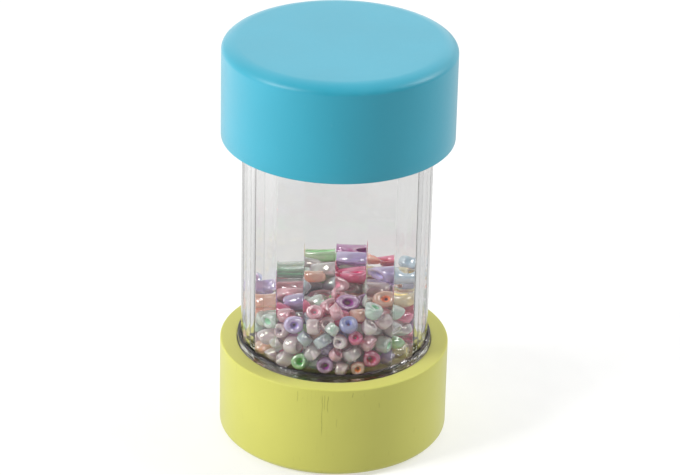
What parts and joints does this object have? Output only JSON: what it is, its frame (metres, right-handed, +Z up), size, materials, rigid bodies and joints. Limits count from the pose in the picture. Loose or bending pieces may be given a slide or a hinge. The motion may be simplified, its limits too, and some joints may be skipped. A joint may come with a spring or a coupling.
{
  "type": "hand shaker",
  "caption": "Small hand shaker: turned, painted wooden ends on a clear round barrel with a faceted bore, closed by clear end plates and part filled with loose glass beads.",
  "frame": {"origin": "centre of the foot, on the surface the shaker stands on", "axes": "+Z up along the shaker's axis, from the lime end to the blue end; -Y is the front, where a corner between two inner facets faces out"},
  "size_m": [0.05, 0.05, 0.0918],
  "materials": {
    "lime_paint": "matte lime paint over turned wood, the grain just showing",
    "sky_paint": "smooth satin sky-blue paint over turned wood",
    "clear_plastic": "clear polished moulded plastic",
    "bead_frost": "frost lustred glass with a coloured hole",
    "bead_green": "green lustred glass with a coloured hole",
    "bead_hot_pink": "hot pink lustred glass with a coloured hole",
    "bead_lilac": "lilac lustred glass with a coloured hole",
    "bead_mint": "mint lustred glass with a coloured hole",
    "bead_peach": "peach lustred glass with a coloured hole",
    "bead_pearl": "pearl lustred glass with a coloured hole",
    "bead_pink": "pink lustred glass with a coloured hole",
    "bead_purple": "purple lustred glass with a coloured hole",
    "bead_sky": "sky lustred glass with a coloured hole",
    "bead_slate": "slate lustred glass with a coloured hole"
  },
  "bodies": {
    "shell": {"base_cap": "lime_paint", "top_cap": "sky_paint", "clear_barrel": "clear_plastic", "lower_end_plate": "clear_plastic", "upper_end_plate": "clear_plastic"},
    "bead_01": {"bead_01": "bead_mint"},
    "bead_02": {"bead_02": "bead_lilac"},
    "bead_03": {"bead_03": "bead_pearl"},
    "bead_04": {"bead_04": "bead_mint"},
    "bead_05": {"bead_05": "bead_pearl"},
    "bead_06": {"bead_06": "bead_peach"},
    "bead_07": {"bead_07": "bead_pearl"},
    "bead_08": {"bead_08": "bead_pink"},
    "bead_09": {"bead_09": "bead_pearl"},
    "bead_10": {"bead_10": "bead_pink"},
    "bead_11": {"bead_11": "bead_peach"},
    "bead_12": {"bead_12": "bead_lilac"},
    "bead_13": {"bead_13": "bead_lilac"},
    "bead_14": {"bead_14": "bead_slate"},
    "bead_15": {"bead_15": "bead_green"},
    "bead_16": {"bead_16": "bead_peach"},
    "bead_17": {"bead_17": "bead_green"},
    "bead_18": {"bead_18": "bead_pearl"},
    "bead_19": {"bead_19": "bead_hot_pink"},
    "bead_20": {"bead_20": "bead_pearl"},
    "bead_21": {"bead_21": "bead_pearl"},
    "bead_22": {"bead_22": "bead_lilac"},
    "bead_23": {"bead_23": "bead_green"},
    "bead_24": {"bead_24": "bead_purple"},
    "bead_25": {"bead_25": "bead_pearl"},
    "bead_26": {"bead_26": "bead_peach"},
    "bead_27": {"bead_27": "bead_pearl"},
    "bead_28": {"bead_28": "bead_hot_pink"},
    "bead_29": {"bead_29": "bead_frost"},
    "bead_30": {"bead_30": "bead_pearl"},
    "bead_31": {"bead_31": "bead_pink"},
    "bead_32": {"bead_32": "bead_frost"},
    "bead_33": {"bead_33": "bead_pearl"},
    "bead_34": {"bead_34": "bead_frost"},
    "bead_35": {"bead_35": "bead_frost"},
    "bead_36": {"bead_36": "bead_lilac"},
    "bead_37": {"bead_37": "bead_purple"},
    "bead_38": {"bead_38": "bead_pink"},
    "bead_39": {"bead_39": "bead_pink"},
    "bead_40": {"bead_40": "bead_peach"},
    "bead_41": {"bead_41": "bead_green"},
    "bead_42": {"bead_42": "bead_pearl"},
    "bead_43": {"bead_43": "bead_mint"},
    "bead_44": {"bead_44": "bead_frost"},
    "bead_45": {"bead_45": "bead_pink"},
    "bead_46": {"bead_46": "bead_peach"},
    "bead_47": {"bead_47": "bead_frost"},
    "bead_48": {"bead_48": "bead_sky"},
    "bead_49": {"bead_49": "bead_slate"},
    "bead_50": {"bead_50": "bead_slate"},
    "bead_51": {"bead_51": "bead_pearl"},
    "bead_52": {"bead_52": "bead_hot_pink"},
    "bead_53": {"bead_53": "bead_mint"},
    "bead_54": {"bead_54": "bead_pearl"},
    "bead_55": {"bead_55": "bead_mint"}
  },
  "joints": [
    {"name": "toss_01", "type": "slide", "parent": "shell", "child": "bead_01", "axis": [0, 0, 1], "range_m": [0, 0.00373]},
    {"name": "toss_02", "type": "slide", "parent": "shell", "child": "bead_02", "axis": [0, 0, 1], "range_m": [0, 0.00377]},
    {"name": "toss_03", "type": "slide", "parent": "shell", "child": "bead_03", "axis": [0, 0, 1], "range_m": [0, 0.00384]},
    {"name": "toss_04", "type": "slide", "parent": "shell", "child": "bead_04", "axis": [0, 0, 1], "range_m": [0, 0.00385]},
    {"name": "toss_05", "type": "slide", "parent": "shell", "child": "bead_05", "axis": [0, 0, 1], "range_m": [0, 0.00386]},
    {"name": "toss_06", "type": "slide", "parent": "shell", "child": "bead_06", "axis": [0, 0, 1], "range_m": [0, 0.00389]},
    {"name": "toss_07", "type": "slide", "parent": "shell", "child": "bead_07", "axis": [0, 0, 1], "range_m": [0, 0.004]},
    {"name": "toss_08", "type": "slide", "parent": "shell", "child": "bead_08", "axis": [0, 0, 1], "range_m": [0, 0.004]},
    {"name": "toss_09", "type": "slide", "parent": "shell", "child": "bead_09", "axis": [0, 0, 1], "range_m": [0, 0.00407]},
    {"name": "toss_10", "type": "slide", "parent": "shell", "child": "bead_10", "axis": [0, 0, 1], "range_m": [0, 0.00409]},
    {"name": "toss_11", "type": "slide", "parent": "shell", "child": "bead_11", "axis": [0, 0, 1], "range_m": [0, 0.0041]},
    {"name": "toss_12", "type": "slide", "parent": "shell", "child": "bead_12", "axis": [0, 0, 1], "range_m": [0, 0.00415]},
    {"name": "toss_13", "type": "slide", "parent": "shell", "child": "bead_13", "axis": [0, 0, 1], "range_m": [0, 0.00424]},
    {"name": "toss_14", "type": "slide", "parent": "shell", "child": "bead_14", "axis": [0, 0, 1], "range_m": [0, 0.0043]},
    {"name": "toss_15", "type": "slide", "parent": "shell", "child": "bead_15", "axis": [0, 0, 1], "range_m": [0, 0.00431]},
    {"name": "toss_16", "type": "slide", "parent": "shell", "child": "bead_16", "axis": [0, 0, 1], "range_m": [0, 0.00438]},
    {"name": "toss_17", "type": "slide", "parent": "shell", "child": "bead_17", "axis": [0, 0, 1], "range_m": [0, 0.00444]},
    {"name": "toss_18", "type": "slide", "parent": "shell", "child": "bead_18", "axis": [0, 0, 1], "range_m": [0, 0.00447]},
    {"name": "toss_19", "type": "slide", "parent": "shell", "child": "bead_19", "axis": [0, 0, 1], "range_m": [0, 0.00462]},
    {"name": "toss_20", "type": "slide", "parent": "shell", "child": "bead_20", "axis": [0, 0, 1], "range_m": [0, 0.00462]},
    {"name": "toss_21", "type": "slide", "parent": "shell", "child": "bead_21", "axis": [0, 0, 1], "range_m": [0, 0.00465]},
    {"name": "toss_22", "type": "slide", "parent": "shell", "child": "bead_22", "axis": [0, 0, 1], "range_m": [0, 0.00551]},
    {"name": "toss_23", "type": "slide", "parent": "shell", "child": "bead_23", "axis": [0, 0, 1], "range_m": [0, 0.00617]},
    {"name": "toss_24", "type": "slide", "parent": "shell", "child": "bead_24", "axis": [0, 0, 1], "range_m": [0, 0.00629]},
    {"name": "toss_25", "type": "slide", "parent": "shell", "child": "bead_25", "axis": [0, 0, 1], "range_m": [0, 0.00682]},
    {"name": "toss_26", "type": "slide", "parent": "shell", "child": "bead_26", "axis": [0, 0, 1], "range_m": [0, 0.00698]},
    {"name": "toss_27", "type": "slide", "parent": "shell", "child": "bead_27", "axis": [0, 0, 1], "range_m": [0, 0.00757]},
    {"name": "toss_28", "type": "slide", "parent": "shell", "child": "bead_28", "axis": [0, 0, 1], "range_m": [0, 0.00871]},
    {"name": "toss_29", "type": "slide", "parent": "shell", "child": "bead_29", "axis": [0, 0, 1], "range_m": [0, 0.00952]},
    {"name": "toss_30", "type": "slide", "parent": "shell", "child": "bead_30", "axis": [0, 0, 1], "range_m": [0, 0.01236]},
    {"name": "toss_31", "type": "slide", "parent": "shell", "child": "bead_31", "axis": [0, 0, 1], "range_m": [0, 0.01272]},
    {"name": "toss_32", "type": "slide", "parent": "shell", "child": "bead_32", "axis": [0, 0, 1], "range_m": [0, 0.01288]},
    {"name": "toss_33", "type": "slide", "parent": "shell", "child": "bead_33", "axis": [0, 0, 1], "range_m": [0, 0.01293]},
    {"name": "toss_34", "type": "slide", "parent": "shell", "child": "bead_34", "axis": [0, 0, 1], "range_m": [0, 0.01307]},
    {"name": "toss_35", "type": "slide", "parent": "shell", "child": "bead_35", "axis": [0, 0, 1], "range_m": [0, 0.01355]},
    {"name": "toss_36", "type": "slide", "parent": "shell", "child": "bead_36", "axis": [0, 0, 1], "range_m": [0, 0.0138]},
    {"name": "toss_37", "type": "slide", "parent": "shell", "child": "bead_37", "axis": [0, 0, 1], "range_m": [0, 0.01412]},
    {"name": "toss_38", "type": "slide", "parent": "shell", "child": "bead_38", "axis": [0, 0, 1], "range_m": [0, 0.01414]},
    {"name": "toss_39", "type": "slide", "parent": "shell", "child": "bead_39", "axis": [0, 0, 1], "range_m": [0, 0.01419]},
    {"name": "toss_40", "type": "slide", "parent": "shell", "child": "bead_40", "axis": [0, 0, 1], "range_m": [0, 0.01503]},
    {"name": "toss_41", "type": "slide", "parent": "shell", "child": "bead_41", "axis": [0, 0, 1], "range_m": [0, 0.01551]},
    {"name": "toss_42", "type": "slide", "parent": "shell", "child": "bead_42", "axis": [0, 0, 1], "range_m": [0, 0.0156]},
    {"name": "toss_43", "type": "slide", "parent": "shell", "child": "bead_43", "axis": [0, 0, 1], "range_m": [0, 0.01569]},
    {"name": "toss_44", "type": "slide", "parent": "shell", "child": "bead_44", "axis": [0, 0, 1], "range_m": [0, 0.01577]},
    {"name": "toss_45", "type": "slide", "parent": "shell", "child": "bead_45", "axis": [0, 0, 1], "range_m": [0, 0.01957]},
    {"name": "toss_46", "type": "slide", "parent": "shell", "child": "bead_46", "axis": [0, 0, 1], "range_m": [0, 0.02039]},
    {"name": "toss_47", "type": "slide", "parent": "shell", "child": "bead_47", "axis": [0, 0, 1], "range_m": [0, 0.02119]},
    {"name": "toss_48", "type": "slide", "parent": "shell", "child": "bead_48", "axis": [0, 0, 1], "range_m": [0, 0.02153]},
    {"name": "toss_49", "type": "slide", "parent": "shell", "child": "bead_49", "axis": [0, 0, 1], "range_m": [0, 0.02243]},
    {"name": "toss_50", "type": "slide", "parent": "shell", "child": "bead_50", "axis": [0, 0, 1], "range_m": [0, 0.02257]},
    {"name": "toss_51", "type": "slide", "parent": "shell", "child": "bead_51", "axis": [0, 0, 1], "range_m": [0, 0.02271]},
    {"name": "toss_52", "type": "slide", "parent": "shell", "child": "bead_52", "axis": [0, 0, 1], "range_m": [0, 0.0245]},
    {"name": "toss_53", "type": "slide", "parent": "shell", "child": "bead_53", "axis": [0, 0, 1], "range_m": [0, 0.02469]},
    {"name": "toss_54", "type": "slide", "parent": "shell", "child": "bead_54", "axis": [0, 0, 1], "range_m": [0, 0.02913]},
    {"name": "shake", "type": "slide", "parent": "shell", "child": "bead_55", "axis": [0, 0, 1], "range_m": [0, 0.03089]}
  ],
  "couplings": [
    {"joint": "toss_01", "follows": "shake", "ratio": 0.12},
    {"joint": "toss_02", "follows": "shake", "ratio": 0.12126},
    {"joint": "toss_03", "follows": "shake", "ratio": 0.12374},
    {"joint": "toss_04", "follows": "shake", "ratio": 0.12385},
    {"joint": "toss_05", "follows": "shake", "ratio": 0.12417},
    {"joint": "toss_06", "follows": "shake", "ratio": 0.12524},
    {"joint": "toss_07", "follows": "shake", "ratio": 0.12885},
    {"joint": "toss_08", "follows": "shake", "ratio": 0.12902},
    {"joint": "toss_09", "follows": "shake", "ratio": 0.13102},
    {"joint": "toss_10", "follows": "shake", "ratio": 0.13176},
    {"joint": "toss_11", "follows": "shake", "ratio": 0.13204},
    {"joint": "toss_12", "follows": "shake", "ratio": 0.13376},
    {"joint": "toss_13", "follows": "shake", "ratio": 0.13678},
    {"joint": "toss_14", "follows": "shake", "ratio": 0.13862},
    {"joint": "toss_15", "follows": "shake", "ratio": 0.13901},
    {"joint": "toss_16", "follows": "shake", "ratio": 0.14115},
    {"joint": "toss_17", "follows": "shake", "ratio": 0.14315},
    {"joint": "toss_18", "follows": "shake", "ratio": 0.14421},
    {"joint": "toss_19", "follows": "shake", "ratio": 0.14895},
    {"joint": "toss_20", "follows": "shake", "ratio": 0.14899},
    {"joint": "toss_21", "follows": "shake", "ratio": 0.14981},
    {"joint": "toss_22", "follows": "shake", "ratio": 0.17785},
    {"joint": "toss_23", "follows": "shake", "ratio": 0.19927},
    {"joint": "toss_24", "follows": "shake", "ratio": 0.20311},
    {"joint": "toss_25", "follows": "shake", "ratio": 0.22023},
    {"joint": "toss_26", "follows": "shake", "ratio": 0.22527},
    {"joint": "toss_27", "follows": "shake", "ratio": 0.24442},
    {"joint": "toss_28", "follows": "shake", "ratio": 0.28128},
    {"joint": "toss_29", "follows": "shake", "ratio": 0.30749},
    {"joint": "toss_30", "follows": "shake", "ratio": 0.39959},
    {"joint": "toss_31", "follows": "shake", "ratio": 0.41107},
    {"joint": "toss_32", "follows": "shake", "ratio": 0.41627},
    {"joint": "toss_33", "follows": "shake", "ratio": 0.4178},
    {"joint": "toss_34", "follows": "shake", "ratio": 0.42237},
    {"joint": "toss_35", "follows": "shake", "ratio": 0.43815},
    {"joint": "toss_36", "follows": "shake", "ratio": 0.44626},
    {"joint": "toss_37", "follows": "shake", "ratio": 0.45634},
    {"joint": "toss_38", "follows": "shake", "ratio": 0.45714},
    {"joint": "toss_39", "follows": "shake", "ratio": 0.45867},
    {"joint": "toss_40", "follows": "shake", "ratio": 0.48577},
    {"joint": "toss_41", "follows": "shake", "ratio": 0.50155},
    {"joint": "toss_42", "follows": "shake", "ratio": 0.50439},
    {"joint": "toss_43", "follows": "shake", "ratio": 0.50719},
    {"joint": "toss_44", "follows": "shake", "ratio": 0.50972},
    {"joint": "toss_45", "follows": "shake", "ratio": 0.63304},
    {"joint": "toss_46", "follows": "shake", "ratio": 0.65928},
    {"joint": "toss_47", "follows": "shake", "ratio": 0.68536},
    {"joint": "toss_48", "follows": "shake", "ratio": 0.69636},
    {"joint": "toss_49", "follows": "shake", "ratio": 0.72558},
    {"joint": "toss_50", "follows": "shake", "ratio": 0.73015},
    {"joint": "toss_51", "follows": "shake", "ratio": 0.7346},
    {"joint": "toss_52", "follows": "shake", "ratio": 0.79261},
    {"joint": "toss_53", "follows": "shake", "ratio": 0.79866},
    {"joint": "toss_54", "follows": "shake", "ratio": 0.94224}
  ]
}
